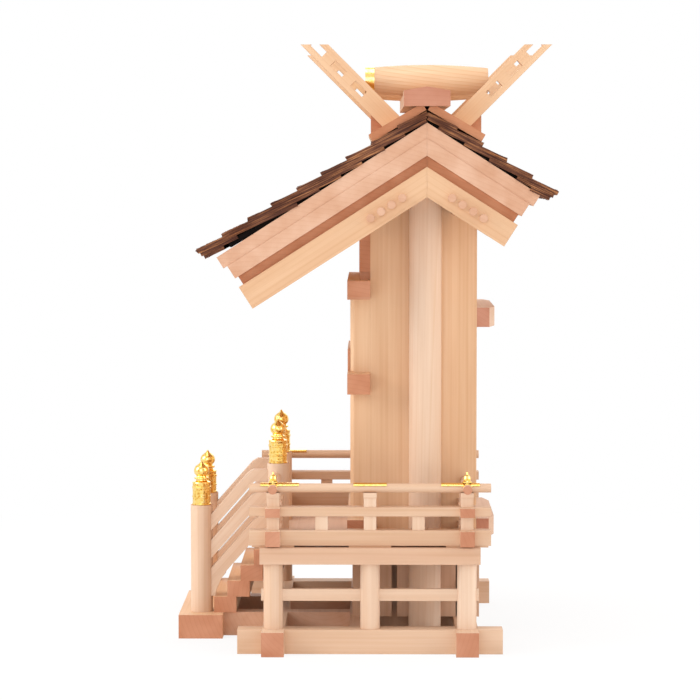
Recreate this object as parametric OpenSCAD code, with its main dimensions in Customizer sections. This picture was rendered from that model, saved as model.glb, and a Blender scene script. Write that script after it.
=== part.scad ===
// Kamidana: a small household shrine of plain wood, with a bark roof, forked
// ridge finials, ridge logs, a railed veranda and a flight of log steps.
// X runs along the ridge, the stairs and doors face -Y, and Z is up.

/* [Base frame] */
// Height of the base beams
base_beam_h = 18.4; // [14:0.2:24]
// Width of the base beams
base_beam_w = 17; // [12:0.5:22]
// Length that the side beams run past the cross beams
side_beam_end = 18.5; // [10:0.5:30]
// Length that the cross beams run past the side beams
cross_beam_end = 13.5; // [8:0.5:30]

/* [Veranda] */
// Distance between the left and right rows of veranda posts
span_x = 237; // [190:1:285]
// Distance between the front and rear veranda posts
span_y = 146; // [120:1:176]
// Diameter of the veranda posts
veranda_post_d = 14.8; // [10:0.2:18]
// Height of the veranda posts
veranda_post_h = 49.7; // [40:0.1:60]
// Height of the edge beams
edge_beam_h = 12.4; // [10:0.1:15]
// Width of the edge beams
edge_beam_w = 15; // [12:0.5:18]
// Distance from the post centres to the outer face of the edge beams
edge_out = 10; // [8:0.5:12]
// Thickness of the floor board
floor_t = 6; // [4:0.5:8]
// Height of the tie rails
tie_h = 9; // [6:0.5:12]
// Thickness of the tie rails
tie_t = 5; // [3:0.5:6]

/* [Railing] */
// Width of the square rails
rail_w = 11; // [8:0.5:13]
// Height of the ground rail
ground_rail_h = 11.6; // [8:0.2:14]
// Gap between the ground rail and the floor between its pads
rail_pad_h = 1.3; // [1:0.1:2]
// Height of the middle rail
middle_rail_h = 6.8; // [5:0.2:9]
// Height of the struts under the middle rail
lower_strut_h = 10.6; // [8:0.2:14]
// Height of the struts over the middle rail
upper_strut_h = 6.8; // [5:0.2:9]
// Height of the bearing blocks under the top pole
bearing_h = 3.9; // [3:0.1:5]
// Diameter of the top pole
pole_d = 6.8; // [5:0.2:8]
// Length that the side rails run past the corners
side_rail_end = 18; // [10:0.5:20]
// Length that the cross rails run past the corners
cross_rail_end = 14; // [10:0.5:20]

/* [Stairs] */
// Number of steps
step_count = 4; // [4]
// Height of one step
step_rise = 12.4; // [10:0.1:12.4]
// Distance from one step's nose to the next
step_run = 10.35; // [8:0.05:12]
// Depth of each step
step_depth = 17.4; // [15:0.1:20]
// Width of the steps
step_w = 96.6; // [96:0.2:110]
// Distance between the left and right stair posts
stair_post_gap = 80; // [74:1:84]
// Diameter of the stair posts
stair_post_d = 17; // [15:0.5:18]
// Height of the posts at the foot of the stairs
foot_post_h = 83.9; // [74:0.1:94]
// Height of the posts at the head of the stairs
head_post_h = 54.7; // [50:0.1:64]
// Thickness of the stair rails
stair_rail_t = 8; // [6:0.5:10]
// Height of the gilt finials
finial_h = 34.5; // [28:0.5:40]

/* [Shrine body] */
// Width of the body over its side walls
body_w = 132; // [126:1:144]
// Depth of the body
body_d = 82; // [76:1:86]
// Thickness of the walls
wall_t = 6; // [4:0.5:8]
// Height of the roof boards' underside at the ridge, over the floor
body_h = 285.6; // [270:0.1:320]
// Diameter of the ridge pillars
pillar_d = 24.8; // [18:0.2:26]
// Half length of the bars across the front
bar_half = 85; // [80:0.5:92]
// Depth of the bars across the front
bar_d = 17.5; // [16:0.5:19]
// Height of the threshold and middle bars
bar_h = 15.5; // [12:0.5:17]
// Height of the underside of the middle bar over the floor
middle_bar_z = 112; // [100:1:120]
// Height of the underside of the lintel bar over the floor
lintel_z = 186.6; // [176:0.1:192]
// Diameter of the round columns beside the doors
column_d = 15.6; // [12:0.2:16]

/* [Roof] */
// Slope of the roof in degrees
roof_angle = 32.6; // [28:0.1:36]
// Run of the top roof board from the ridge to the front eave
front_run = 155.9; // [140:0.1:165]
// Run of the top roof board from the ridge to the rear eave
rear_run = 83.8; // [76:0.1:92]
// Half length of the roof along the ridge
roof_half = 140; // [130:1:160]
// Thickness of the top roof board
top_board_t = 9.7; // [7:0.1:12]
// Thickness of the second roof board
second_board_t = 10.9; // [8:0.1:13]
// Thickness of the third roof board
third_board_t = 6.9; // [5:0.1:9]
// Depth of the barge boards
barge_h = 18.9; // [15:0.1:24]
// Thickness of the barge boards
barge_t = 10; // [8:0.5:12]
// Step back of each lower roof board at the eaves
board_step = 8; // [5:0.5:10]
// Run of one bark course
course_run = 18.5; // [15.5:0.1:20]
// Height of the bark over the top board at the ridge
bark_lift = 11.4; // [10.5:0.1:13]
// Extra height of the bark at the front eave
bark_kick = 3.8; // [0:0.1:6]

/* [Ridge] */
// Width of the ridge cap
cap_w = 34.4; // [28:0.2:40]
// Height of the ridge cap at its edges
cap_h = 11.4; // [9:0.2:14]
// Rise of the ridge cap's top to its middle
cap_rise = 3; // [2:0.2:5]
// Length of the ridge logs
log_len = 92.4; // [80:0.2:105]
// Diameter of the ridge logs at the middle
log_d = 23.8; // [18:0.2:26]
// Diameter of the ridge logs at their ends
log_end_d = 18.8; // [14:0.2:20]
// Distance between the ridge logs
log_pitch = 56; // [50:1:60]
// Width of the forked finials
fork_w = 14.6; // [12:0.2:16]
// Thickness of the forked finials
fork_t = 8; // [6:0.5:10]
// Height of the forked finials over the ridge cap's underside
fork_rise = 46.6; // [40:0.2:52]
// Distance between the two pairs of forked finials
fork_gap = 206; // [196:1:230]

/* [Hidden] */

$fn = 48;
wood = "#dfb694";
end_wood = "#c88e70";
gilt = "#e8b13c";
bark = "#5b4130";
big = 600;

// Levels, from the ground up
edge_z = base_beam_h + veranda_post_h;
floor_z = edge_z + edge_beam_h;
ground_rail_z = floor_z + rail_pad_h;
middle_rail_z = ground_rail_z + ground_rail_h + lower_strut_h;
bearing_z = middle_rail_z + middle_rail_h + upper_strut_h;
pole_z = bearing_z + bearing_h + pole_d / 2;
tie_z = base_beam_h + veranda_post_h * 0.515 - tie_h / 2;

// Plan positions, measured from the middle of the veranda
post_x = span_x / 2;
post_y = span_y / 2;
edge_x = post_x + edge_out;
edge_y = post_y + edge_out;
ridge_y = 42;
body_rear = body_d;
wall_x = body_w / 2;
pillar_x = wall_x + pillar_d / 2;

// Stairs
stair_x = stair_post_gap / 2;
head_post_y = -post_y + 1;
first_nose_y = -edge_y - 7.8 - (step_count - 1) * step_run;
foot_post_y = first_nose_y - 10;
block_front_y = foot_post_y - 17;
block_rear_y = foot_post_y + 17.3;
block_half = 61;
stair_beam_w = 14.5;
inner_beam_front = -15.5;

// Heights over the floor
trim_t = 2.1;
lintel_h = 12.2;
spacer_h = 6.1;
post_depth = 12.6;
post_w = 8;

// Roof
slope = tan(roof_angle);
flat = cos(roof_angle);
under_z = floor_z + body_h;
third_z = under_z + third_board_t / flat;
second_z = third_z + second_board_t / flat;
top_z = second_z + top_board_t / flat;
purlin_w = 14;
front_purlin_y = -8.4;
front_purlin_z = floor_z + 241.5;
rear_purlin_y = body_rear - wall_t - purlin_w;
rear_purlin_z = floor_z + 249.5;
ridge_purlin_z = floor_z + 265.5;
bark_end = 141;
tip_over = 16.3;
front_tip = front_run + tip_over;
rear_tip = rear_run + 14.6;
riser = 2.8;
mitre_gap = 0.04;

// Ridge
saddle_angle = 30.5;
saddle_t = 6;
saddle_half = 138;
saddle_reach = 40.2;
saddle_z = top_z + 9.5;
saddle_top = saddle_z + saddle_t / cos(saddle_angle);
cap_z = saddle_z + 2.6;
log_z = cap_z + cap_h + log_d / 2 - 3;
fork_x = fork_gap / 2 + fork_t / 2;
fork_top_z = cap_z + fork_rise;
block_reach = 41.6;
block_h = 14.2;
fork_line = saddle_top - tan(saddle_angle) * block_reach + block_h + fork_w / sqrt(2) - block_reach;

// The origin is under the middle of the whole outline
origin_y = -(block_front_y + ridge_y + rear_tip) / 2;

// Moves a piece from the veranda's middle to the origin
module place() { translate([0, origin_y, 0]) children(); }

// Copies a piece to the left and right
module both_sides() { children(); mirror([1, 0, 0]) children(); }

// A block from its lowest corner to its highest
module block(low, high) { translate(low) cube(high - low); }

// An outline in Y and Z, run along X between two places
module along_x(x0, x1, outline) {
  translate([x0, 0, 0]) rotate([90, 0, 90]) linear_extrude(x1 - x0) polygon(outline);
}

// A round bar along Y
module bar_y(x, y0, y1, z, d) {
  translate([x, y0, z]) rotate([-90, 0, 0]) cylinder(h = y1 - y0, d = d);
}

// A round bar along X
module bar_x(x0, x1, y, z, d) {
  translate([x0, y, z]) rotate([0, 90, 0]) cylinder(h = x1 - x0, d = d);
}

// A round upright
module upright(x, y, z0, z1, d) { translate([x, y, z0]) cylinder(h = z1 - z0, d = d); }

// The space that a half-lap takes out at each corner of the frame
module corner_laps(w_x, w_y, z0, z1) {
  for (x = [-post_x, post_x], y = [-post_y, post_y])
    block([x - w_x / 2, y - w_y / 2, z0], [x + w_x / 2, y + w_y / 2, z1]);
}

// ---- Base frame ----

module base_side_beams() {
  color(wood) place() both_sides() difference() {
    block([post_x - base_beam_w / 2, -post_y - base_beam_w / 2 - side_beam_end, 0],
          [post_x + base_beam_w / 2, post_y + base_beam_w / 2 + side_beam_end, base_beam_h]);
    corner_laps(base_beam_w + 1, base_beam_w, base_beam_h / 2, big);
  }
}

module cross_beam(y) {
  half = post_x + base_beam_w / 2 + cross_beam_end;
  block([-half, y - base_beam_w / 2, 0], [half, y + base_beam_w / 2, base_beam_h]);
}

module base_cross_beams() {
  color(end_wood) place() difference() {
    for (y = [-post_y, post_y]) cross_beam(y);
    corner_laps(base_beam_w, base_beam_w + 1, -1, base_beam_h / 2);
    both_sides() stair_beam_lap(base_beam_h / 2, big);
  }
}

module stair_beam_lap(z0, z1) {
  x0 = stair_x - 8.4;
  block([x0, -post_y - base_beam_w / 2 - 0.5, z0],
        [x0 + stair_beam_w, -post_y + base_beam_w / 2 + 0.5, z1]);
}

// The beam under the body's front legs, and the two that run out to the stairs
module inner_base_beams() {
  x0 = stair_x - 8.4;
  color(wood) place() {
    block([base_beam_w / 2 - post_x, inner_beam_front, 0],
          [post_x - base_beam_w / 2, inner_beam_front + base_beam_w, base_beam_h]);
    both_sides() difference() {
      block([x0, block_rear_y, 0], [x0 + stair_beam_w, inner_beam_front - 0.3, base_beam_h]);
      block([x0 - 1, -post_y - base_beam_w / 2, -1],
            [x0 + stair_beam_w + 1, -post_y + base_beam_w / 2, base_beam_h / 2]);
    }
  }
}

// ---- Veranda ----

module tie_slots() {
  both_sides() block([post_x - tie_t / 2, -big, tie_z], [post_x + tie_t / 2, big, tie_z + tie_h]);
}

module veranda_post_rods() {
  for (x = [-post_x, post_x], y = [-post_y, 0, post_y])
    upright(x, y, base_beam_h, edge_z, veranda_post_d);
}

module veranda_posts() {
  color(wood) place() difference() {
    veranda_post_rods();
    tie_slots();
  }
}

// Side ties pass through the posts, and cross ties end on them
module tie_rails() {
  tie_end = post_y + veranda_post_d / 2 + 1.7;
  color(wood) place() {
    both_sides() block([post_x - tie_t / 2, -tie_end, tie_z],
                       [post_x + tie_t / 2, tie_end, tie_z + tie_h]);
    difference() {
      union() {
        block([-post_x, -post_y - tie_t / 2, tie_z], [post_x, -post_y + tie_t / 2, tie_z + tie_h]);
        both_sides() block([wall_x, post_y - tie_t / 2, tie_z],
                           [post_x, post_y + tie_t / 2, tie_z + tie_h]);
      }
      for (x = [-post_x, post_x], y = [-post_y, post_y])
        upright(x, y, 0, edge_z, veranda_post_d);
    }
  }
}

module side_edge_beams() {
  color(wood) place() both_sides()
    block([edge_x - edge_beam_w, -edge_y, edge_z], [edge_x, edge_y, floor_z]);
}

module cross_edge_beams() {
  inner_x = edge_x - edge_beam_w;
  color(wood) place() {
    block([-inner_x, -edge_y, edge_z], [inner_x, -edge_y + edge_beam_w, floor_z]);
    both_sides() block([wall_x, edge_y - edge_beam_w, edge_z], [inner_x, edge_y, floor_z]);
  }
}

module floor_board() {
  inner_x = edge_x - edge_beam_w;
  inner_y = edge_y - edge_beam_w;
  color("#ecd0b8") place() difference() {
    union() {
      block([-inner_x, -inner_y, floor_z - floor_t], [inner_x, inner_y, floor_z]);
      block([-wall_x, 0, floor_z - floor_t], [wall_x, edge_y, floor_z]);
    }
    both_sides() upright(pillar_x, ridge_y, 0, big, pillar_d);
  }
}

// ---- Railing ----

lower_struts = [-post_y, -post_y / 2, 0, post_y / 2, post_y];
upper_struts = [-post_y, 0, post_y];
front_strut_x = (post_x + stair_x) / 2;
rear_strut_x = (post_x + wall_x) / 2 - 4;

module side_rail(z, h) {
  end_y = post_y + side_rail_end;
  difference() {
    block([post_x - rail_w / 2, -end_y, z], [post_x + rail_w / 2, end_y, z + h]);
    corner_laps(rail_w + 1, rail_w, z + h / 2, big);
  }
}

// From the corner to the stair post in front, and to the body behind
module cross_rail(z, h) {
  end_x = post_x + cross_rail_end;
  difference() {
    union() {
      block([stair_x, -post_y - rail_w / 2, z], [end_x, -post_y + rail_w / 2, z + h]);
      block([wall_x, post_y - rail_w / 2, z], [end_x, post_y + rail_w / 2, z + h]);
    }
    corner_laps(rail_w, rail_w + 1, -1, z + h / 2);
    upright(stair_x, head_post_y, 0, big, stair_post_d);
  }
}

module side_ground_rails() {
  pad_w = rail_w - 1;
  color(wood) place() both_sides() {
    side_rail(ground_rail_z, ground_rail_h);
    for (y = [-post_y, 0, post_y])
      block([post_x - pad_w / 2, y - 16, floor_z], [post_x + pad_w / 2, y + 16, ground_rail_z]);
  }
}

module cross_ground_rails() {
  pad_w = rail_w - 1;
  color(end_wood) place() both_sides() {
    cross_rail(ground_rail_z, ground_rail_h);
    block([stair_x + stair_post_d / 2, -post_y - pad_w / 2, floor_z],
          [stair_x + stair_post_d / 2 + 14, -post_y + pad_w / 2, ground_rail_z]);
    block([wall_x, post_y - pad_w / 2, floor_z], [wall_x + 14, post_y + pad_w / 2, ground_rail_z]);
  }
}

module side_middle_rails() { color(wood) place() both_sides() side_rail(middle_rail_z, middle_rail_h); }

module cross_middle_rails() {
  color(end_wood) place() both_sides() cross_rail(middle_rail_z, middle_rail_h);
}

module side_top_poles() {
  end_y = post_y + side_rail_end;
  color(wood) place() both_sides() difference() {
    bar_y(post_x, -end_y, end_y, pole_z, pole_d);
    corner_laps(pole_d + 1, pole_d, pole_z, big);
  }
}

module cross_top_poles() {
  end_x = post_x + cross_rail_end;
  color(end_wood) place() both_sides() difference() {
    union() {
      bar_x(stair_x, end_x, -post_y, pole_z, pole_d);
      bar_x(wall_x, end_x, post_y, pole_z, pole_d);
    }
    corner_laps(pole_d, pole_d + 1, -1, pole_z);
    upright(stair_x, head_post_y, 0, big, stair_post_d);
  }
}

// Places a strut on the side rails and in the middle of each cross rail
module at_struts(places) {
  both_sides() {
    for (y = places) translate([post_x, y, 0]) children();
    translate([front_strut_x, -post_y, 0]) children();
    translate([rear_strut_x, post_y, 0]) children();
  }
}

module strut(w, z, h) { translate([-w / 2, -w / 2, z]) cube([w, w, h]); }

module rail_struts() {
  color(wood) place() {
    at_struts(lower_struts) strut(9.4, ground_rail_z + ground_rail_h, lower_strut_h);
    at_struts(upper_struts) strut(9.4, middle_rail_z + middle_rail_h, upper_strut_h);
  }
}

module bearing_blocks() {
  color(wood) place() at_struts(upper_struts) strut(10, bearing_z, bearing_h);
}

// A thin gilt strip bent over the top of the pole
module gilt_strip(length) {
  skin = 0.5;
  difference() {
    rotate([-90, 0, 0]) translate([0, 0, -length / 2]) cylinder(h = length, d = pole_d + 2 * skin);
    rotate([-90, 0, 0]) translate([0, 0, -length]) cylinder(h = 2 * length, d = pole_d);
    translate([-pole_d, -length, -pole_d]) cube([2 * pole_d, 2 * length, pole_d * 1.25]);
  }
}

// A small gilt crown where two poles cross
module gilt_crown() {
  rotate_extrude($fn = 32) polygon([[0, 0.3], [3.4, 0.3], [3.4, 1.2], [2.4, 2.2], [2.9, 3.6],
    [2.2, 5.4], [0.9, 6.6], [0.6, 8.2], [0, 8.8]]);
}

// The strips and the crown where a side pole and a cross pole meet
module gilt_corner(side) {
  difference() {
    union() {
      translate([0, -side * 5, 0]) gilt_strip(29);
      translate([-5, 0, 0]) rotate([0, 0, 90]) gilt_strip(29);
    }
    bar_y(0, -30, 30, 0, pole_d);
    bar_x(-30, 30, 0, 0, pole_d);
  }
  translate([0, 0, pole_d / 2 + 0.3]) gilt_crown();
}

module rail_gilding() {
  color(gilt) place() both_sides() translate([post_x, 0, pole_z]) {
    gilt_strip(25);
    for (side = [-1, 1]) translate([0, side * post_y, 0]) gilt_corner(side);
  }
}

// ---- Stairs ----

module stair_block() {
  color(end_wood) place()
    block([-block_half, block_front_y, 0], [block_half, block_rear_y, base_beam_h]);
}

module step(number) {
  y = first_nose_y + (number - 1) * step_run;
  z = base_beam_h + (number - 1) * step_rise;
  color(end_wood) place() block([-step_w / 2, y, z], [step_w / 2, y + step_depth, z + step_rise]);
}

module step_1() { step(1); }
module step_2() { step(2); }
module step_3() { step(3); }
module step_4() { step(4); }

module stair_foot_posts() {
  color(wood) place() both_sides()
    upright(stair_x, foot_post_y, base_beam_h, base_beam_h + foot_post_h, stair_post_d);
}

module stair_head_posts() {
  color(wood) place() both_sides()
    upright(stair_x, head_post_y, floor_z, floor_z + head_post_h, stair_post_d);
}

// Rail outline: a slope up from the foot post, then a level end at the head post
module stair_rail(rise_z, sloped_h, level_top, level_h) {
  pitch = step_rise / step_run * 0.95;
  low_y = foot_post_y;
  top_bend = low_y + (level_top - rise_z) / pitch;
  low_bend = low_y + (level_top - level_h - rise_z + sloped_h) / pitch;
  along_x(stair_x - stair_rail_t / 2, stair_x + stair_rail_t / 2,
    [[low_y, rise_z], [top_bend - 2, level_top - 2 * pitch], [top_bend + 2, level_top],
     [head_post_y, level_top], [head_post_y, level_top - level_h],
     [low_bend, level_top - level_h], [low_y, rise_z - sloped_h]]);
}

// The lowest rail has a foot that comes down beside the post to the first step
module stair_string_foot() {
  step_top = base_beam_h + step_rise;
  along_x(stair_x - stair_rail_t / 2, stair_x + stair_rail_t / 2,
    [[foot_post_y, step_top], [first_nose_y + 0.6, step_top], [first_nose_y + 1.8, step_top + 6],
     [first_nose_y + 5.6, step_top + 14], [first_nose_y + 9, step_top + 18.2],
     [foot_post_y, step_top + 14]]);
}

module stair_rails() {
  color(wood) place() both_sides() difference() {
    union() {
      stair_rail(floor_z + 5.8, 12.6, floor_z + 49.7, 9.4);
      stair_rail(floor_z - 14.4, 14.3, floor_z + 31.5, 10);
      stair_rail(floor_z - 36.3, 15.8, floor_z + 12.9, 12.7);
      stair_string_foot();
    }
    upright(stair_x, foot_post_y, 0, big, stair_post_d);
    upright(stair_x, head_post_y, 0, big, stair_post_d);
  }
}

// Onion finial on a sheath, as a turned profile of radius and height
function finial_profile(h) = [[0, 0], [7.3, 0], [7.5, h * 0.03], [7.2, h * 0.05], [7.2, h * 0.5],
  [6.6, h * 0.54], [4.6, h * 0.57], [5.6, h * 0.6], [5.6, h * 0.63], [4.2, h * 0.66],
  [4.6, h * 0.68], [5.9, h * 0.74], [6, h * 0.79], [5.2, h * 0.85], [3.2, h * 0.91],
  [1.2, h * 0.955], [0.6, h], [0, h]];

module finial() { rotate_extrude() polygon(finial_profile(finial_h)); }

module finials() {
  color(gilt) place() both_sides() {
    translate([stair_x, foot_post_y, base_beam_h + foot_post_h]) finial();
    translate([stair_x, head_post_y, floor_z + head_post_h]) finial();
  }
}

// ---- Shrine body ----

leg_t = 17;
leg_top = floor_z - floor_t;

// Front legs, side boards and rear legs under the floor, a slit apart, with a
// board behind them on each side
module body_legs() {
  inner_x = wall_x - leg_t - 0.3;
  beam_rear = post_y + base_beam_w / 2;
  beam_front = post_y - base_beam_w / 2;
  color(wood) place() both_sides() {
    block([wall_x - leg_t, -13.6, base_beam_h], [wall_x, 16.8, leg_top]);
    block([wall_x - wall_t, 20.8, base_beam_h], [wall_x, 66.3, leg_top]);
    block([wall_x - leg_t, 67.6, base_beam_h], [wall_x, body_rear + 2.4, edge_z]);
    along_x(inner_x - 5.5, inner_x, [[2, 0], [beam_front - 0.3, 0],
      [beam_front - 0.3, base_beam_h + 0.3], [beam_rear - 2, base_beam_h + 0.3],
      [beam_rear - 2, leg_top], [2, leg_top]]);
  }
}

module ridge_pillars() {
  color(wood) place() both_sides() upright(pillar_x, ridge_y, 0, ridge_purlin_z, pillar_d);
}

function roof_under(y) = under_z - slope * abs(y - ridge_y);

module purlins() {
  ends = roof_half - barge_t + 1;
  y0 = ridge_y - purlin_w / 2;
  y1 = ridge_y + purlin_w / 2;
  color(wood) place() {
    for (p = [[front_purlin_y, front_purlin_z], [rear_purlin_y, rear_purlin_z]])
      along_x(-ends, ends, [[p[0], p[1]], [p[0] + purlin_w, p[1]],
        [p[0] + purlin_w, roof_under(p[0] + purlin_w)], [p[0], roof_under(p[0])]]);
    along_x(-ends, ends, [[y0, ridge_purlin_z], [y1, ridge_purlin_z], [y1, roof_under(y1)],
      [ridge_y, under_z], [y0, roof_under(y0)]]);
  }
}

// Edge of the notch that lets a purlin into the wall top, from its rear to its front
function purlin_notch(y, z) = [[y + purlin_w, roof_under(y + purlin_w)], [y + purlin_w, z],
  [y, z], [y, roof_under(y)]];

module side_walls() {
  front_edge = front_purlin_y + purlin_w;
  outline = concat([[0, floor_z], [body_rear, floor_z], [body_rear, roof_under(body_rear)]],
    purlin_notch(rear_purlin_y, rear_purlin_z),
    purlin_notch(ridge_y - purlin_w / 2, ridge_purlin_z),
    [[front_edge, roof_under(front_edge)], [front_edge, front_purlin_z], [0, front_purlin_z]]);
  color(wood) place() both_sides() along_x(wall_x - wall_t, wall_x, outline);
}

module back_wall() {
  y0 = body_rear - wall_t;
  color(wood) place() along_x(wall_t - wall_x, wall_x - wall_t, [[y0, floor_z],
    [body_rear, floor_z], [body_rear, roof_under(body_rear)], [y0, roof_under(y0)]]);
}

// Bars behind the body, with the rear corners cut off at a long slant
module rear_bar(z, h) {
  y0 = body_rear;
  y1 = body_rear + 14.4;
  half = wall_x;
  translate([0, 0, z]) linear_extrude(h) polygon([[-half, y0], [half, y0], [half, y1 - 4.7],
    [half - 20, y1], [20 - half, y1], [-half, y1 - 4.7]]);
}

module rear_bars() {
  color(wood) place() {
    rear_bar(floor_z + 162.6, 14.8);
    rear_bar(floor_z, 14.4);
  }
}

module front_bar(z, h) { block([-bar_half, -bar_d, z], [bar_half, 0, z + h]); }

module threshold_bar() { color(end_wood) place() front_bar(floor_z, bar_h); }

module middle_bar() { color(end_wood) place() front_bar(floor_z + middle_bar_z, bar_h); }

module lintel_bar() { color(end_wood) place() front_bar(floor_z + lintel_z, lintel_h); }

// Thin strips: under the lintel bar, over it, and on the middle bar's front edge
module front_trim() {
  kick_z = floor_z + middle_bar_z + bar_h;
  over_z = floor_z + lintel_z + lintel_h;
  color("#f0dcc8") place() {
    front_bar(floor_z + lintel_z - trim_t, trim_t);
    block([-50, -bar_d, kick_z], [50, -bar_d + 1.9, kick_z + 17]);
    block([2 - wall_x, -8, over_z], [wall_x - 2, 0, over_z + spacer_h]);
  }
}

// Square posts flush with the side walls, and round columns inside them
module front_posts() {
  low = floor_z + bar_h;
  high = floor_z + lintel_z - trim_t;
  mid_low = floor_z + middle_bar_z;
  mid_high = mid_low + bar_h;
  column_x = wall_x - post_w - 0.3 - column_d / 2;
  color(wood) place() both_sides() for (span = [[low, mid_low], [mid_high, high]]) {
    block([wall_x - post_w, -post_depth, span[0]], [wall_x, 0, span[1]]);
    upright(column_x, -column_d / 2 + 0.2, span[0], span[1], column_d);
  }
}

door_half = wall_x - post_w - column_d - 0.6;

// One door leaf, with a framed panel
module door_leaf(low, high) {
  difference() {
    block([0.2, -9, low], [door_half, -3, high]);
    block([6, -10, low + 8], [door_half - 6, -8, high - 8]);
  }
}

module doors() {
  low = floor_z + bar_h + 0.3;
  high = floor_z + middle_bar_z - 0.3;
  color(wood) place() both_sides() door_leaf(low, high);
}

module transom_board() {
  low = floor_z + middle_bar_z + bar_h;
  high = floor_z + lintel_z - trim_t;
  color(wood) place() block([-door_half, -7, low], [door_half, -1, high]);
}

module upper_front_board() {
  low = floor_z + lintel_z + lintel_h + spacer_h;
  color(end_wood) place() block([-wall_x, front_purlin_y, low], [wall_x, 0, front_purlin_z]);
}

// ---- Roof ----

// Outline of a board laid down one slope, cut square at the eave.
// side is -1 for the front slope and 1 for the rear
function slope_board(side, run, z, t) = [
  [ridge_y + side * mitre_gap, z - slope * mitre_gap],
  [ridge_y + side * run, z - slope * run],
  [ridge_y + side * (run - t * sin(roof_angle)), z - slope * run - t * flat],
  [ridge_y + side * mitre_gap, z - t / flat - slope * mitre_gap]];

module roof_board(half, inset, z, t) {
  along_x(-half, half, slope_board(-1, front_run - inset, z, t));
  along_x(-half, half, slope_board(1, rear_run - inset, z, t));
}

module top_roof_boards() { color(end_wood) place() roof_board(roof_half - 0.6, 0, top_z, top_board_t); }

module second_roof_boards() {
  color(end_wood) place() roof_board(roof_half, board_step, second_z, second_board_t);
}

module third_roof_boards() {
  color(end_wood) place() roof_board(roof_half - 3, 2 * board_step, third_z, third_board_t);
}

module barge_boards() {
  inset = 2 * board_step + 0.6;
  x1 = roof_half + 1;
  color(wood) place() both_sides() {
    along_x(x1 - barge_t, x1, slope_board(-1, front_run - inset, under_z, barge_h));
    along_x(x1 - barge_t, x1, slope_board(1, rear_run - inset, under_z, barge_h));
  }
}

// Four pegs stand out of the barge board on each side of each gable
module gable_pegs() {
  peg_z = under_z - barge_h / flat / 2;
  color(end_wood) place() both_sides()
    for (side = [-1, 1], n = [0:3]) {
      d = 18.4 + 7.8 * n;
      translate([roof_half + 1, ridge_y + side * d, peg_z - slope * d])
        rotate([0, 90, 0]) rotate([0, 0, 22.5]) cylinder(h = 6, d = 6.4, $fn = 8);
    }
}

// Top corner of a bark course whose tip is d from the ridge
function tip_z(d, kick) = top_z + bark_lift + kick * d / front_tip - slope * d;

// Stepped outline of the bark on one slope
function bark_outline(side, run, tip, kick) = let (
  courses = floor((tip - saddle_reach) / course_run) + 1,
  steps = [for (n = [0:courses - 1]) let (d = tip - n * course_run)
    each (n == 0 ? [[d, tip_z(d, kick)]] : [[d, tip_z(d, kick) - riser], [d, tip_z(d, kick)]])],
  hidden = saddle_reach - 0.3,
  points = concat([[mitre_gap, top_z - slope * mitre_gap], [run, top_z - slope * run],
      [tip - 6.6, tip_z(tip, kick) - 5.8]],
    steps,
    [[hidden, saddle_z - tan(saddle_angle) * hidden - 0.3], [mitre_gap, saddle_z - 0.3]]))
  [for (p = points) [ridge_y + side * p[0], p[1]]];

module bark_roofing() {
  color(bark) place() {
    along_x(-bark_end, bark_end, bark_outline(-1, front_run, front_tip, bark_kick));
    along_x(-bark_end, bark_end, bark_outline(1, rear_run, rear_tip, 0));
  }
}

// ---- Ridge ----

function saddle_line(d) = saddle_top - tan(saddle_angle) * d;

function saddle_outline(side) = let (
  out = saddle_reach + saddle_t * sin(saddle_angle),
  inner = (saddle_top - cap_z) / tan(saddle_angle),
  fall = tan(saddle_angle),
  points = [[0.5, saddle_z - fall * 0.5], [saddle_reach, saddle_z - fall * saddle_reach],
    [out, saddle_line(out)], [inner, cap_z], [2.3, cap_z]])
  [for (p = points) [ridge_y + side * p[0], p[1]]];

module saddle_boards() {
  color(end_wood) place() for (side = [-1, 1]) along_x(-saddle_half, saddle_half, saddle_outline(side));
}

module cap_bar(half) {
  y0 = ridge_y - cap_w / 2;
  y1 = ridge_y + cap_w / 2;
  along_x(-half, half, [[y0, cap_z], [y1, cap_z], [y1, cap_z + cap_h],
    [ridge_y, cap_z + cap_h + cap_rise], [y0, cap_z + cap_h]]);
}

module ridge_cap() { color(end_wood) place() cap_bar(roof_half + 1); }

log_places = [-1.5, -0.5, 0.5, 1.5];

// Radius of a barrel-shaped log at t, from -1 to 1 along its length
function log_radius(t) = log_end_d / 2 + (log_d - log_end_d) / 2 * (1 - t * t);

module log_solid() {
  rings = 16;
  translate([0, ridge_y + 0.8, log_z]) rotate([90, 0, 0]) rotate_extrude()
    polygon(concat([[0, -log_len / 2]],
      [for (n = [0:rings]) let (t = 2 * n / rings - 1) [log_radius(t), t * log_len / 2]],
      [[0, log_len / 2]]));
}

module ridge_logs() {
  color("#efc59f") place() difference() {
    for (p = log_places) translate([p * log_pitch, 0, 0]) log_solid();
    cap_bar(big);
  }
}

// A gilt cup over the front end of each log
module log_caps() {
  skin = 0.4;
  cup_d = log_end_d + 2.1;
  y = ridge_y + 0.8 - log_len / 2;
  color(gilt) place() for (p = log_places) translate([p * log_pitch, y, log_z])
    rotate([-90, 0, 0]) difference() {
      translate([0, 0, -skin]) cylinder(h = 6.8, d = cup_d);
      cylinder(h = 20, d = cup_d - 2 * skin);
    }
}

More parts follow.
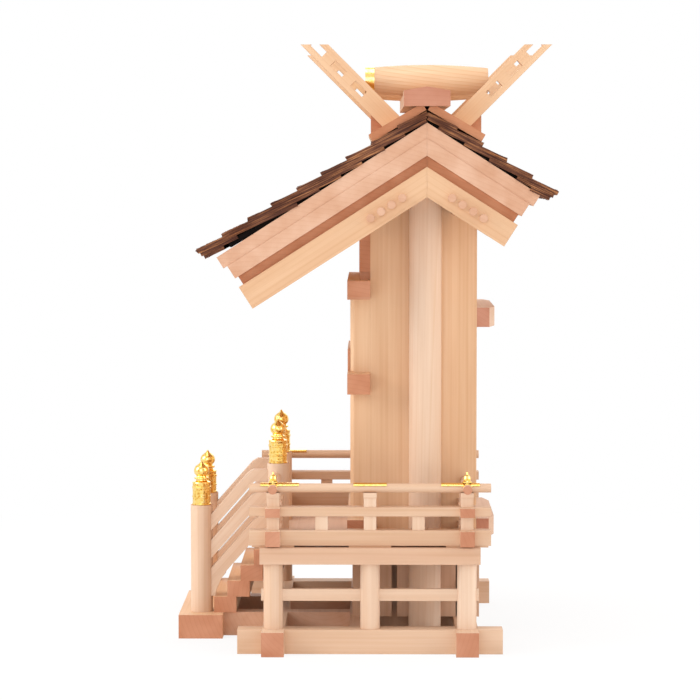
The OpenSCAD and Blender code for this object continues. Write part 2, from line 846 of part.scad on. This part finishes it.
// One leg of a fork: a slanting board with two slots and an open end
module fork_leg() {
  skew = fork_w / sqrt(2);
  foot_in = (saddle_top - fork_line - skew) / (1 + tan(saddle_angle));
  foot_out = (saddle_top - fork_line + skew) / (1 + tan(saddle_angle));
  top_d = fork_top_z - fork_line;
  difference() {
    along_x(fork_x - fork_t, fork_x, [[foot_in, saddle_line(foot_in)], [foot_out, saddle_line(foot_out)],
      [top_d + skew, fork_top_z], [top_d - skew, fork_top_z]]);
    for (n = [0:2]) {
      d = top_d - 18.1 - 15 + 15 * n;
      translate([fork_x - fork_t / 2, d, d + fork_line]) rotate([45, 0, 0])
        cube([fork_t + 2, 12, 5.3], center = true);
    }
  }
}

module forked_finials() {
  color(wood) place() both_sides() translate([0, ridge_y, 0]) {
    fork_leg();
    mirror([0, 1, 0]) fork_leg();
  }
}

// Blocks behind the forks, standing on the saddle boards
module fork_block() {
  x1 = fork_x - fork_t;
  d = block_reach;
  along_x(x1 - 7, x1, [[22, saddle_line(22)], [d, saddle_line(d)], [d, saddle_line(d) + block_h],
    [d - 8.6, saddle_line(d) + block_h + 1.8]]);
}

module fork_blocks() {
  color(end_wood) place() both_sides() translate([0, ridge_y, 0]) {
    fork_block();
    mirror([0, 1, 0]) fork_block();
  }
}

base_side_beams();
base_cross_beams();
inner_base_beams();
veranda_posts();
tie_rails();
side_edge_beams();
cross_edge_beams();
floor_board();
side_ground_rails();
cross_ground_rails();
side_middle_rails();
cross_middle_rails();
side_top_poles();
cross_top_poles();
rail_struts();
bearing_blocks();
rail_gilding();
stair_block();
step_1();
step_2();
step_3();
step_4();
stair_foot_posts();
stair_head_posts();
stair_rails();
finials();
body_legs();
ridge_pillars();
side_walls();
back_wall();
rear_bars();
threshold_bar();
middle_bar();
lintel_bar();
front_trim();
front_posts();
doors();
transom_board();
upper_front_board();
purlins();
top_roof_boards();
second_roof_boards();
third_roof_boards();
barge_boards();
gable_pegs();
bark_roofing();
saddle_boards();
ridge_cap();
ridge_logs();
log_caps();
forked_finials();
fork_blocks();
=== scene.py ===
import math
import random

import bpy
from mathutils import Matrix, Vector


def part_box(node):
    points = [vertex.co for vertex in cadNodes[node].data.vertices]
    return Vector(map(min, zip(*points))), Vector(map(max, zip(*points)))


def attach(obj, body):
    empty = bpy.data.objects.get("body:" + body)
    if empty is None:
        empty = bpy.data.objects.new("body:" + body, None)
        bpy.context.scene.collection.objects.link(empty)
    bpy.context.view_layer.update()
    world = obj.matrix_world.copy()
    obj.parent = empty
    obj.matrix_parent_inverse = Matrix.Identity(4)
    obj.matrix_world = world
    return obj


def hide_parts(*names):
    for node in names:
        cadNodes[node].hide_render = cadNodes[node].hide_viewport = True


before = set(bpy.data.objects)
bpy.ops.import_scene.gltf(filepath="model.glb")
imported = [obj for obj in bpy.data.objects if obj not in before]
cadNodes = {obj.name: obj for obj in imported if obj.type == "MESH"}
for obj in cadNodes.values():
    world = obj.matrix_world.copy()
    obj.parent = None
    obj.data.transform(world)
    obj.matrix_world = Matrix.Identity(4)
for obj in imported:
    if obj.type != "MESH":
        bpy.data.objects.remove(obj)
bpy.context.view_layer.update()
print("frame loaded")

mm = 0.001


def middle(node):
    low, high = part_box(node)
    return (low + high) / 2


verandaY = middle("veranda_posts").y
ridgeY = middle("ridge_cap").y


# ---- colours and nodes ----

def linear(hexColour):
    # sRGB hex to the linear values that sockets take
    values = [int(hexColour[i:i + 2], 16) / 255 for i in (1, 3, 5)]
    return [v / 12.92 if v <= 0.04045 else ((v + 0.055) / 1.055) ** 2.4 for v in values] + [1.0]


def addNode(tree, kind, sockets=None, **settings):
    node = tree.nodes.new(kind)
    for name, value in settings.items():
        setattr(node, name, value)
    for name, value in (sockets or {}).items():
        if isinstance(value, bpy.types.NodeSocket):
            tree.links.new(value, node.inputs[name])
        else:
            node.inputs[name].default_value = value
    return node


def addRamp(tree, factor, stops):
    ramp = addNode(tree, "ShaderNodeValToRGB", {"Fac": factor})
    elements = ramp.color_ramp.elements
    while len(elements) < len(stops):
        elements.new(0.5)
    for element, (place, colour) in zip(elements, stops):
        element.position = place
        element.color = linear(colour) if isinstance(colour, str) else (colour, colour, colour, 1)
    return ramp.outputs["Color"]


def newMaterial(name):
    material = bpy.data.materials.new(name)
    material.use_nodes = True
    material.node_tree.nodes.clear()
    return material, material.node_tree


def finishMaterial(tree, shader):
    addNode(tree, "ShaderNodeOutputMaterial", {"Surface": shader.outputs[0]})


# ---- planed hinoki ----
# Planed cypress has no finish on it, so it is matt and pale, with fine straight grain.
# Sawn ends drink the light and look darker and pinker than the sides.

def grainTurn(run):
    # turns the run of the grain onto Z; a number is a slope in the YZ plane, in degrees
    if run == "x":
        return (0, math.radians(-90), 0)
    if run == "y":
        return (math.radians(90), 0, 0)
    if run == "z":
        return (0, 0, 0)
    return (math.radians(90 - run), 0, 0)


hinokiLook = {
    "fibre": 1.9,        # mm between fibres, drawn coarser than the real 0.3 so that it shows
    "ringGap": 3.4,      # mm between growth rings
    "pithAway": 46,      # mm from the middle of the log to the board
    "ringWander": 1.6,
    "edgeRadius": 0.35,  # mm taken off each edge by the plane
    "relief": 0.05,
}


def makeHinoki(name, run, side, sideDark, end, endDark, mirrorAt=None, pith=None, gap=None, tilt=0,
               endAmount=1.0, rings=1.0):
    material, tree = newMaterial(name)
    place = addNode(tree, "ShaderNodeTexCoord").outputs["Object"]
    if mirrorAt is not None:
        split = addNode(tree, "ShaderNodeSeparateXYZ", {"Vector": place})
        away = addNode(tree, "ShaderNodeMath", {0: split.outputs["Y"], 1: mirrorAt},
                       operation="SUBTRACT")
        folded = addNode(tree, "ShaderNodeMath", {0: away.outputs[0]}, operation="ABSOLUTE")
        place = addNode(tree, "ShaderNodeCombineXYZ", {
            "X": split.outputs["X"], "Y": folded.outputs[0], "Z": split.outputs["Z"]}).outputs[0]
    turned = addNode(tree, "ShaderNodeMapping", {
        "Vector": place, "Rotation": grainTurn(run), "Scale": (1000, 1000, 1000)}).outputs[0]

    # fibres, long along the grain
    fibreSpace = addNode(tree, "ShaderNodeMapping", {
        "Vector": turned, "Scale": (1, 1, 0.018)}).outputs[0]
    fibre = addNode(tree, "ShaderNodeTexNoise", {
        "Vector": fibreSpace, "Scale": 1 / hinokiLook["fibre"], "Detail": 3.0,
        "Roughness": 0.6}).outputs["Fac"]
    broad = addNode(tree, "ShaderNodeTexNoise", {
        "Vector": addNode(tree, "ShaderNodeMapping", {
            "Vector": turned, "Scale": (1, 1, 0.12)}).outputs[0],
        "Scale": 1 / 22, "Detail": 2.0}).outputs["Fac"]

    # growth rings round a pith that lies outside the board
    shift = pith or (hinokiLook["pithAway"], hinokiLook["pithAway"] * 0.7)
    ringSpace = addNode(tree, "ShaderNodeMapping", {
        "Vector": turned, "Location": (shift[0], shift[1], 0),
        "Rotation": (math.radians(tilt), math.radians(tilt * 0.6), 0)}).outputs[0]
    ringScale = 0.314 / (gap or hinokiLook["ringGap"])
    ring = addNode(tree, "ShaderNodeTexWave", {
        "Vector": ringSpace, "Scale": ringScale, "Distortion": hinokiLook["ringWander"],
        "Detail": 1.0, "Detail Scale": 0.05}, wave_type="RINGS", rings_direction="Z",
        wave_profile="SAW").outputs["Fac"]
    ringLine = addRamp(tree, ring, [(0.0, 0.0), (0.7, 0.12), (0.94, 0.8), (1.0, 0.15)])

    def blend(colourA, colourB, factor):
        return addNode(tree, "ShaderNodeMix", {
            "Factor": factor, 6: colourA, 7: colourB}, data_type="RGBA").outputs[2]

    fibreTone = addRamp(tree, fibre, [(0.32, 0.0), (0.7, 1.0)])
    mixed = addNode(tree, "ShaderNodeMath", {0: ringLine, 1: 0.34 * rings}, operation="MULTIPLY")
    mixedToo = addNode(tree, "ShaderNodeMath", {0: fibreTone, 1: 0.34, 2: mixed.outputs[0]},
                       operation="MULTIPLY_ADD")
    sideColour = blend(linear(side), linear(sideDark), mixedToo.outputs[0])
    endMix = addNode(tree, "ShaderNodeMath", {0: broad, 1: 0.7, 2: mixed.outputs[0]},
                     operation="MULTIPLY_ADD")
    endColour = blend(linear(end), linear(endDark), endMix.outputs[0])

    # which way a face looks says whether the grain was cut across
    normal = addNode(tree, "ShaderNodeNewGeometry").outputs["Normal"]
    runWay = {"x": (1, 0, 0), "y": (0, 1, 0), "z": (0, 0, 1)}.get(run)
    if runWay is None:
        runWay = (0, math.cos(math.radians(run)), math.sin(math.radians(run)))
    facing = addNode(tree, "ShaderNodeVectorMath", {0: normal, 1: runWay},
                     operation="DOT_PRODUCT").outputs["Value"]
    size = addNode(tree, "ShaderNodeMath", {0: facing}, operation="ABSOLUTE").outputs[0]
    cut = addRamp(tree, size, [(0.7, 0.0), (0.85, endAmount)])
    colour = blend(sideColour, endColour, cut)
    patch = addRamp(tree, broad, [(0.3, "#fff6ee"), (0.72, "#f0dccb")])
    toned = addNode(tree, "ShaderNodeMix", {"Factor": 1.0, 6: colour, 7: patch},
                    data_type="RGBA", blend_type="MULTIPLY").outputs[2]

    edge = addNode(tree, "ShaderNodeBevel", {"Radius": hinokiLook["edgeRadius"] * mm}, samples=8)
    relief = addNode(tree, "ShaderNodeBump", {
        "Height": fibre, "Strength": 0.35, "Distance": hinokiLook["relief"] * mm,
        "Normal": edge.outputs[0]}).outputs[0]
    shader = addNode(tree, "ShaderNodeBsdfPrincipled", {
        "Base Color": toned, "Roughness": 0.62, "IOR": 1.45, "Specular IOR Level": 0.35,
        "Normal": relief})
    finishMaterial(tree, shader)
    return material


woodTones = {
    "pale": {"side": "#e9d6c5", "sideDark": "#dbbda0", "end": "#d6a78d", "endDark": "#c69579"},
    "rail": {"side": "#e2cbb6", "sideDark": "#d3b294", "end": "#cd9a80", "endDark": "#bd8468"},
    "warm": {"side": "#ecd0b1", "sideDark": "#dcb48e", "end": "#d6a286", "endDark": "#c18767"},
    "rosy": {"side": "#dfc4af", "sideDark": "#cfae95", "end": "#dfbda6", "endDark": "#d0a58c"},
    "tan": {"side": "#e3c3a3", "sideDark": "#d3ab86", "end": "#c8906e", "endDark": "#b67a58"},
    "pink": {"side": "#dfc4af", "sideDark": "#cfae95", "end": "#cb9883", "endDark": "#bb8069"},
}

# node: (run of the grain, tone, more)
woodPlan = {
    "base_side_beams": ("y", "rail", {}),
    "base_cross_beams": ("x", "rail", {}),
    "inner_base_beams": ("x", "rosy", {}),
    "veranda_posts": ("z", "pale", {}),
    "tie_rails": ("y", "pale", {}),
    "side_edge_beams": ("y", "rosy", {}),
    "cross_edge_beams": ("x", "rosy", {}),
    "floor_board": ("x", "rosy", {}),
    "side_ground_rails": ("y", "rail", {}),
    "cross_ground_rails": ("x", "rail", {}),
    "side_middle_rails": ("y", "rail", {}),
    "cross_middle_rails": ("x", "rail", {}),
    "side_top_poles": ("y", "rail", {}),
    "cross_top_poles": ("x", "rail", {}),
    "rail_struts": ("z", "pale", {}),
    "bearing_blocks": ("y", "pale", {}),
    "stair_block": ("x", "warm", {}),
    "step_1": ("x", "warm", {}),
    "step_2": ("x", "warm", {"pith": (30, 52)}),
    "step_3": ("x", "warm", {"pith": (-44, 38)}),
    "step_4": ("x", "warm", {"pith": (52, -20)}),
    "stair_foot_posts": ("z", "pale", {}),
    "stair_head_posts": ("z", "pale", {}),
    "stair_rails": (48.2, "pale", {}),
    "body_legs": ("z", "rosy", {}),
    "ridge_pillars": ("z", "pale", {"gap": 5, "tilt": 2.0, "pith": (-70, 5)}),
    "side_walls": ("z", "warm", {"pith": (90, 30)}),
    "back_wall": ("z", "pale", {}),
    "rear_bars": ("x", "pink", {}),
    "threshold_bar": ("x", "warm", {}),
    "middle_bar": ("x", "warm", {}),
    "lintel_bar": ("x", "warm", {"pith": (-30, 60)}),
    "front_trim": ("x", "pale", {}),
    "front_posts": ("z", "warm", {}),
    "doors": ("z", "pale", {}),
    "transom_board": ("x", "pale", {}),
    "upper_front_board": ("x", "warm", {}),
    "purlins": ("x", "warm", {}),
    "top_roof_boards": ("x", "rosy", {"pith": (20, 90)}),
    "second_roof_boards": ("x", "rosy", {"pith": (-40, 70)}),
    "third_roof_boards": ("x", "tan", {"pith": (60, 50)}),
    "barge_boards": (-32.6, "tan", {"mirrorAt": ridgeY}),
    "gable_pegs": ("x", "rosy", {}),
    "saddle_boards": ("x", "tan", {}),
    "ridge_cap": ("x", "pink", {"pith": (8, -30)}),
    "ridge_logs": ("y", "warm", {"gap": 2.6, "tilt": 6.0, "pith": (4, -3), "rings": 2.4}),
    "forked_finials": (45, "warm", {"mirrorAt": ridgeY}),
    "fork_blocks": ("x", "warm", {}),
}

for nodeName, (run, tone, more) in woodPlan.items():
    material = makeHinoki("planedHinoki_" + nodeName, run, **woodTones[tone], **more)
    mesh = cadNodes[nodeName].data
    mesh.materials.clear()
    mesh.materials.append(material)
print("wood grain on", len(woodPlan), "nodes")


# ---- gilt brass ----
# Thin pressed brass with gold plating: a mirror with a warm yellow body and soft hammer marks.

giltLook = {"colour": "#ffd878", "roughness": 0.17, "chase": 1.9, "chaseDepth": 0.12}


def makeGilt(name, chased):
    material, tree = newMaterial(name)
    place = addNode(tree, "ShaderNodeTexCoord").outputs["Object"]
    turned = addNode(tree, "ShaderNodeMapping", {
        "Vector": place, "Scale": (1000, 1000, 1000)}).outputs[0]
    if chased:
        marks = addNode(tree, "ShaderNodeTexVoronoi", {
            "Vector": turned, "Scale": 1 / giltLook["chase"]}, feature="SMOOTH_F1")
        height = marks.outputs["Distance"]
    else:
        height = addNode(tree, "ShaderNodeTexNoise", {
            "Vector": turned, "Scale": 0.5, "Detail": 2.0}).outputs["Fac"]
    tone = addRamp(tree, height, [(0.1, "#e0a040" if chased else "#f3c050"),
                                  (0.4, giltLook["colour"]), (0.8, "#ffe6a0")])
    relief = addNode(tree, "ShaderNodeBump", {
        "Height": height, "Strength": 0.9 if chased else 0.3,
        "Distance": giltLook["chaseDepth"] * mm}).outputs[0]
    shader = addNode(tree, "ShaderNodeBsdfPrincipled", {
        "Base Color": tone, "Metallic": 1.0, "Roughness": giltLook["roughness"],
        "Normal": relief})
    finishMaterial(tree, shader)
    return material


smoothGilt = makeGilt("giltBrassPlain", False)
chasedGilt = makeGilt("giltBrassChased", True)
for nodeName in ("rail_gilding", "log_caps"):
    mesh = cadNodes[nodeName].data
    mesh.materials.clear()
    mesh.materials.append(smoothGilt)
print("gilding done")


# ---- cedar bark ----
# Strips of stripped cedar bark: dry, fibrous, dark brown with tan streaks along the fibres.

barkLook = {
    "courseRun": 18.5, "tilt": 25.6, "thickness": 3.0, "stripCount": 9, "halfLength": 140.2,
    "length": 56, "inset": 1.2, "lift": 11.4, "kick": 3.8, "slope": 32.6, "ragged": 0.9, "fibre": 0.9,
    "frontCourses": 9, "rearCourses": 5, "saddleReach": 40,
}


def makeBark(name, tilt, stops=((0.32, "#3a2018"), (0.45, "#643d2f"), (0.55, "#8a5a3e"),
                               (0.66, "#c98d5c"))):
    material, tree = newMaterial(name)
    place = addNode(tree, "ShaderNodeTexCoord").outputs["Object"]
    turned = addNode(tree, "ShaderNodeMapping", {
        "Vector": place, "Rotation": (math.radians(-tilt), 0, 0),
        "Scale": (1000, 1000, 1000)}).outputs[0]
    strands = addNode(tree, "ShaderNodeMapping", {
        "Vector": turned, "Scale": (0.5, 0.03, 1.1)}).outputs[0]
    strand = addNode(tree, "ShaderNodeTexNoise", {
        "Vector": strands, "Scale": 1 / barkLook["fibre"], "Detail": 4.0,
        "Roughness": 0.65}).outputs["Fac"]
    patches = addNode(tree, "ShaderNodeTexNoise", {
        "Vector": turned, "Scale": 1 / 26, "Detail": 3.0}).outputs["Fac"]
    brown = addRamp(tree, strand, stops)
    shade = addRamp(tree, patches, [(0.3, "#b9a79c"), (0.7, "#ffffff")])
    mixed = addNode(tree, "ShaderNodeMix", {"Factor": 1.0, 6: brown, 7: shade},
                    data_type="RGBA", blend_type="MULTIPLY").outputs[2]
    relief = addNode(tree, "ShaderNodeBump", {
        "Height": strand, "Strength": 0.8, "Distance": 0.6 * mm}).outputs[0]
    shader = addNode(tree, "ShaderNodeBsdfPrincipled", {
        "Base Color": mixed, "Roughness": 0.85, "Specular IOR Level": 0.25, "Normal": relief})
    finishMaterial(tree, shader)
    return material


def deselectAll():
    if bpy.context.object and bpy.context.object.mode != "OBJECT":
        bpy.ops.object.mode_set(mode="OBJECT")
    bpy.ops.object.select_all(action="DESELECT")


def makeActive(thing):
    deselectAll()
    thing.select_set(True)
    bpy.context.view_layer.objects.active = thing


def selectVerts(thing, test):
    # picks vertices in code, then goes to edit mode with them selected
    makeActive(thing)
    bpy.ops.object.mode_set(mode="EDIT")
    bpy.ops.mesh.select_mode(type="VERT")
    bpy.ops.mesh.select_all(action="DESELECT")
    bpy.ops.object.mode_set(mode="OBJECT")
    for vertex in thing.data.vertices:
        vertex.select = test(vertex.co)
    bpy.ops.object.mode_set(mode="EDIT")


def makeStrip(seed, width):
    # one strip of bark, butt at Y = 0 and running back under the next course
    length = barkLook["length"] * mm
    deselectAll()
    bpy.ops.mesh.primitive_grid_add(x_subdivisions=10, y_subdivisions=14, size=1)
    strip = bpy.context.object
    strip.scale = (width, length, 1)
    strip.location = (0, length / 2, 0)
    bpy.ops.object.transform_apply(location=True, rotation=True, scale=True)
    bpy.ops.object.modifier_add(type="SOLIDIFY")
    strip.modifiers[-1].thickness = barkLook["thickness"] * mm * 0.96
    strip.modifiers[-1].offset = -1
    bpy.ops.object.modifier_apply(modifier=strip.modifiers[-1].name)
    selectVerts(strip, lambda co: co.y < 0.2 * mm)
    bpy.ops.transform.vertex_random(offset=barkLook["ragged"] * mm, uniform=0.4, normal=0,
                                    seed=seed)
    bpy.ops.object.mode_set(mode="OBJECT")
    selectVerts(strip, lambda co: co.z > -0.3 * mm)
    bpy.ops.transform.vertex_random(offset=0.22 * mm, uniform=0.2, normal=0, seed=seed + 50)
    bpy.ops.object.mode_set(mode="OBJECT")
    return strip


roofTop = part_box("top_roof_boards")[1].z
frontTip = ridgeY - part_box("bark_roofing")[0].y
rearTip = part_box("bark_roofing")[1].y - ridgeY
fall = math.tan(math.radians(barkLook["slope"]))


def tipHeight(away, kick):
    return roofTop + 0.15 * mm + barkLook["lift"] * mm + kick * mm * away / frontTip - fall * away


stripWidth = 2 * barkLook["halfLength"] * mm / barkLook["stripCount"]
stripStock = [makeStrip(seed, stripWidth - 0.25 * mm) for seed in range(6)]
random.seed(4)


def layCourse(name, side, away, height, material, lengthLeft, lower=0.0):
    # a row of strips side by side, joined into one piece
    row = []
    for n in range(barkLook["stripCount"]):
        stock = random.choice(stripStock)
        copy = bpy.data.objects.new(name + "_strip", stock.data.copy())
        bpy.context.collection.objects.link(copy)
        x = -barkLook["halfLength"] * mm + (n + 0.5) * stripWidth
        keep = lengthLeft / (barkLook["length"] * mm)
        shape = Matrix.Diagonal((random.choice((-1, 1)), keep, 1, 1))
        if shape[0][0] < 0:
            copy.data.flip_normals()
        tilt = Matrix.Rotation(math.radians(barkLook["tilt"] + random.uniform(-0.4, 0.4)), 4, "X")
        back = random.uniform(0, 0.9) * mm
        move = Matrix.Translation((0, back + lower * 0.45, -lower))
        turn = Matrix.Identity(4) if side < 0 else Matrix.Rotation(math.pi, 4, "Z")
        spot = Matrix.Translation((x, ridgeY + side * away, height))
        copy.data.transform(spot @ turn @ tilt @ move @ shape)
        row.append(copy)
    deselectAll()
    for copy in row:
        copy.select_set(True)
    bpy.context.view_layer.objects.active = row[0]
    bpy.ops.object.join()
    course = bpy.context.object
    course.name = name
    course.data.name = name
    course.data.materials.clear()
    course.data.materials.append(material)
    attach(course, "root")
    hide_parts("bark_roofing")
    return course


def layBark(side, tip, kick, courses, material, word):
    tip -= barkLook["inset"] * mm
    for n in range(courses):
        away = tip - n * barkLook["courseRun"] * mm
        height = tipHeight(away, kick)
        # a course runs back until its underside meets the board, or stops at the ridge
        tiltAngle = math.radians(barkLook["tilt"])
        under = (barkLook["lift"] + kick * away / frontTip - 3.3) * mm
        back = under / (fall - math.tan(tiltAngle))
        reach = min(back, away - 1.2 * mm) / math.cos(tiltAngle)
        layCourse("barkCourse_%s_%d" % (word, n + 1), side, away, height, material, reach)
    for n in (1, 2):
        # two short layers thicken the eave
        layCourse("barkEave_%s_%d" % (word, n), side, tip, tipHeight(tip, kick), material,
                  (44 - 14 * n) * mm, lower=n * barkLook["thickness"] * mm)
    # a near-black fill packs the space between the courses and the board, held back from the gables;
    # its colour is painted shade for the deep gap under the courses
    slopeAngle = math.radians(barkLook["slope"])
    deselectAll()
    run = (tip - 26 * mm) / math.cos(slopeAngle)
    bpy.ops.mesh.primitive_cube_add(size=1)
    shadeFill = bpy.context.object
    shadeFill.scale = (2 * (barkLook["halfLength"] - 5) * mm, run, 5 * mm)
    shadeFill.location = (0, -run / 2, 2.6 * mm)
    bpy.ops.object.transform_apply(location=True, rotation=True, scale=True)
    selectVerts(shadeFill, lambda co: True)
    bpy.ops.mesh.bevel(offset=0.8 * mm, segments=2)
    bpy.ops.object.mode_set(mode="OBJECT")
    turn = Matrix.Identity(4) if side < 0 else Matrix.Rotation(math.pi, 4, "Z")
    shadeFill.data.transform(Matrix.Translation((0, ridgeY + side * 0.5 * mm, roofTop)) @ turn
                           @ Matrix.Rotation(slopeAngle, 4, "X"))
    shadeFill.name = "barkShadeFill_" + word
    shadeFill.data.materials.append(paintedShadeBark)
    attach(shadeFill, "root")
    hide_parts("bark_roofing")


frontBark = makeBark("cedarBarkFront", barkLook["tilt"])
rearBark = makeBark("cedarBarkRear", -barkLook["tilt"])
# painted shade: a near-black bark colour stands in for the shadow in the gap under the courses
paintedShadeBark = makeBark("paintedShadeCedarBark", 0, ((0.3, "#0c0705"), (0.7, "#21130c")))
layBark(-1, frontTip, barkLook["kick"], barkLook["frontCourses"], frontBark, "front")
layBark(1, rearTip, 0, barkLook["rearCourses"], rearBark, "rear")
for stock in stripStock:
    bpy.data.objects.remove(stock)
print("bark laid")


# ---- onion finials ----

finialLook = {"height": 34.5, "segments": 40}

# radius and height of each turned ring, in mm
finialRings = [
    (6.9, 0.0), (7.45, 0.15), (7.45, 1.2), (7.05, 1.5), (7.05, 5.6), (7.4, 5.9), (7.4, 7.0),
    (7.05, 7.3), (7.05, 12.6), (7.45, 13.0), (7.45, 14.4), (7.0, 14.8), (7.0, 16.6),
    (7.3, 17.2), (6.9, 18.0), (5.4, 18.6), (4.3, 19.0), (4.2, 19.8), (5.5, 20.2), (5.7, 20.9),
    (5.5, 21.6), (4.1, 22.0), (3.9, 22.7), (4.6, 23.3), (5.5, 24.4), (5.95, 25.8), (5.95, 27.2),
    (5.5, 28.8), (4.6, 30.2), (3.4, 31.2), (2.2, 32.0), (1.3, 32.9), (0.75, 33.8), (0.2, 34.45),
]


def turnFinial():
    deselectAll()
    first = finialRings[0]
    bpy.ops.mesh.primitive_circle_add(vertices=finialLook["segments"], radius=first[0] * mm,
                                      fill_type="NGON", location=(0, 0, first[1] * mm))
    finial = bpy.context.object
    bpy.ops.object.mode_set(mode="EDIT")
    bpy.ops.mesh.select_all(action="SELECT")
    for (radiusA, heightA), (radiusB, heightB) in zip(finialRings, finialRings[1:]):
        bpy.ops.mesh.extrude_region_move(
            TRANSFORM_OT_translate={"value": (0, 0, (heightB - heightA) * mm)})
        grow = radiusB / radiusA
        bpy.ops.transform.resize(value=(grow, grow, 1), center_override=(0, 0, heightB * mm))
    bpy.ops.mesh.select_all(action="SELECT")
    bpy.ops.mesh.normals_make_consistent(inside=False)
    bpy.ops.object.mode_set(mode="OBJECT")
    bpy.ops.object.shade_smooth_by_angle(angle=math.radians(32))
    return finial


finialStock = turnFinial()
finialLow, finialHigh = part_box("finials")
footLow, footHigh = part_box("stair_foot_posts")
headLow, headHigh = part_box("stair_head_posts")
postRadius = (footHigh.y - footLow.y) / 2
for word, low, high in (("foot", footLow, footHigh), ("head", headLow, headHigh)):
    for sideWord, x in (("Left", low.x + postRadius), ("Right", high.x - postRadius)):
        copy = bpy.data.objects.new(word + sideWord + "Finial", finialStock.data.copy())
        bpy.context.collection.objects.link(copy)
        copy.data.transform(Matrix.Translation((x, (low.y + high.y) / 2, high.z)))
        copy.data.materials.append(chasedGilt)
        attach(copy, "root")
        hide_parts("finials")
bpy.data.objects.remove(finialStock)
print("finials turned")


# ---- floor, lights, camera ----

studio = {
    "floorColour": "#f4f2f0", "ambient": 0.6, "floorGlow": 0.86,
    "left": {"at": (0.5, -1.5, 0.95), "size": 1.1, "watts": 17},
    "right": {"at": (0.5, 1.5, 0.85), "size": 1.1, "watts": 12},
    "top": {"at": (0.1, 0.0, 1.9), "size": 1.2, "watts": 12},
    "front": {"at": (2.3, -0.3, 0.8), "size": 1.3, "watts": 9},
    "behind": {"at": (-1.9, 0.0, 1.2), "size": 1.3, "watts": 10},
}

deselectAll()
bpy.ops.mesh.primitive_plane_add(size=12, location=(0, 0, 0))
floor = bpy.context.object
floor.name = "studioFloor"
material, tree = newMaterial("palePaper")
paper = addNode(tree, "ShaderNodeBsdfDiffuse", {"Color": linear(studio["floorColour"])})
glow = addNode(tree, "ShaderNodeEmission", {"Color": (1, 1, 1, 1), "Strength": 1.0})
seen = addNode(tree, "ShaderNodeLightPath")
rays = addNode(tree, "ShaderNodeMath", {
    0: seen.outputs["Is Camera Ray"], 1: seen.outputs["Is Glossy Ray"]}, operation="MAXIMUM")
spot = addNode(tree, "ShaderNodeTexCoord").outputs["Object"]
away = addNode(tree, "ShaderNodeVectorMath", {0: spot}, operation="LENGTH").outputs["Value"]
spread = addNode(tree, "ShaderNodeMapRange", {
    "Value": away, "From Min": 0.2, "From Max": 0.75, "To Min": studio["floorGlow"],
    "To Max": 1.0})
amount = addNode(tree, "ShaderNodeMath", {0: rays.outputs[0], 1: spread.outputs[0]},
                 operation="MULTIPLY")
mixed = addNode(tree, "ShaderNodeMixShader", {
    0: amount.outputs[0], 1: paper.outputs[0], 2: glow.outputs[0]})
finishMaterial(tree, mixed)
floor.data.materials.append(material)

world = bpy.data.worlds.new("studioAir")
bpy.context.scene.world = world
world.use_nodes = True
tree = world.node_tree
tree.nodes.clear()
seen = addNode(tree, "ShaderNodeLightPath")
rays = addNode(tree, "ShaderNodeMath", {
    0: seen.outputs["Is Camera Ray"], 1: seen.outputs["Is Glossy Ray"]}, operation="MAXIMUM")
rays = addNode(tree, "ShaderNodeMath", {
    0: rays.outputs[0], 1: seen.outputs["Is Transmission Ray"]}, operation="MAXIMUM")
softAir = addNode(tree, "ShaderNodeBackground", {
    "Color": (1, 1, 1, 1), "Strength": studio["ambient"]})
whiteAir = addNode(tree, "ShaderNodeBackground", {"Color": (1, 1, 1, 1), "Strength": 1.0})
mixed = addNode(tree, "ShaderNodeMixShader", {
    0: rays.outputs[0], 1: softAir.outputs[0], 2: whiteAir.outputs[0]})
addNode(tree, "ShaderNodeOutputWorld", {"Surface": mixed.outputs[0]})

aim = Vector((0, 0, 0.22))
for word in ("left", "right", "top", "front", "behind"):
    values = studio[word]
    lamp = bpy.data.lights.new(word + "Lamp", "AREA")
    lamp.size = values["size"]
    lamp.energy = values["watts"]
    holder = bpy.data.objects.new(word + "Lamp", lamp)
    bpy.context.collection.objects.link(holder)
    holder.location = values["at"]
    holder.rotation_euler = (aim - holder.location).to_track_quat("-Z", "Y").to_euler()

cameraLook = {"at": (2139.0, 0.98, 368.9), "yaw": 0.456, "pitch": 3.962, "lens": 138.86}
lens = bpy.data.cameras.new("shrineCamera")
lens.lens = cameraLook["lens"]
lens.sensor_width = 36
camera = bpy.data.objects.new("shrineCamera", lens)
bpy.context.collection.objects.link(camera)
camera.location = Vector(cameraLook["at"]) * mm + Vector((0, verandaY, 0))
yaw = math.radians(cameraLook["yaw"])
pitch = math.radians(cameraLook["pitch"])
forward = Vector((-math.cos(yaw) * math.cos(pitch), -math.sin(yaw) * math.cos(pitch),
                  -math.sin(pitch)))
camera.rotation_euler = forward.to_track_quat("-Z", "Y").to_euler()
lens.clip_start = 0.05
lens.clip_end = 50
bpy.context.scene.camera = camera
bpy.context.scene.view_settings.view_transform = "Standard"
print("studio set")
